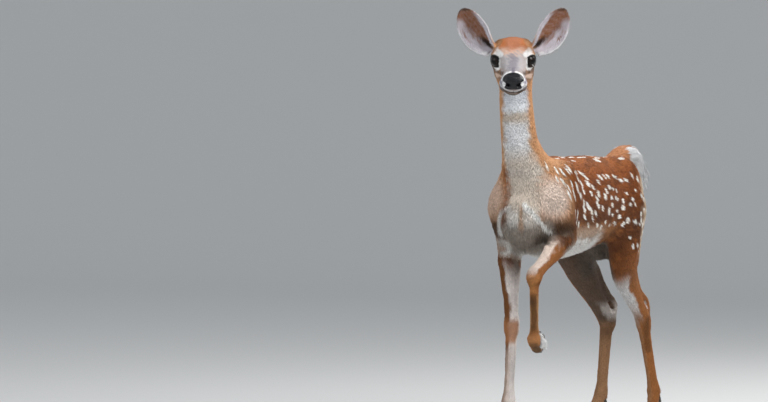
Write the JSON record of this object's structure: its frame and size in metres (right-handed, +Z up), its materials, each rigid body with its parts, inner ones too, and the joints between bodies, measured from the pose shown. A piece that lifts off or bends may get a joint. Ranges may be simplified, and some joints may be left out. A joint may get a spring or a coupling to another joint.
{
  "type": "white-tailed deer fawn figure",
  "caption": "Still, life-size museum model of a spotted white-tailed deer fawn, head turned to the viewer, one forefoot lifted, tail raised.",
  "frame": {"origin": "on the floor, under the middle of the model's bounding box", "axes": "+Z up; the fawn's body faces -Y and its left side is +X; the head is turned to its left"},
  "size_m": [0.2222, 0.7134, 0.9013],
  "materials": {
    "rufous_coat": "short red-brown summer coat with white spots",
    "pale_coat": "pale hair of the ears over brown skin",
    "nose_leather": "moist black nose, fine bumps",
    "dark_eye": "polished, near-black brown",
    "hoof_horn": "dull black horn"
  },
  "bodies": {
    "root": {"ear_left": "pale_coat", "ear_right": "pale_coat", "eye_left": "dark_eye", "eye_right": "dark_eye", "fore_left_cannon": "rufous_coat", "fore_left_dewclaw_left": "hoof_horn", "fore_left_dewclaw_right": "hoof_horn", "fore_left_forearm": "rufous_coat", "fore_left_hoof_left": "hoof_horn", "fore_left_hoof_right": "hoof_horn", "fore_left_pastern": "rufous_coat", "fore_right_cannon": "rufous_coat", "fore_right_dewclaw_left": "hoof_horn", "fore_right_dewclaw_right": "hoof_horn", "fore_right_forearm": "rufous_coat", "fore_right_hoof_left": "hoof_horn", "fore_right_hoof_right": "hoof_horn", "fore_right_pastern": "rufous_coat", "head": "rufous_coat", "hind_left_cannon": "rufous_coat", "hind_left_dewclaw_left": "hoof_horn", "hind_left_dewclaw_right": "hoof_horn", "hind_left_gaskin": "rufous_coat", "hind_left_hoof_left": "hoof_horn", "hind_left_hoof_right": "hoof_horn", "hind_left_pastern": "rufous_coat", "hind_right_cannon": "rufous_coat", "hind_right_dewclaw_left": "hoof_horn", "hind_right_dewclaw_right": "hoof_horn", "hind_right_gaskin": "rufous_coat", "hind_right_hoof_left": "hoof_horn", "hind_right_hoof_right": "hoof_horn", "hind_right_pastern": "rufous_coat", "neck": "rufous_coat", "nose": "nose_leather", "tail": "rufous_coat", "trunk": "rufous_coat"}
  },
  "joints": []
}
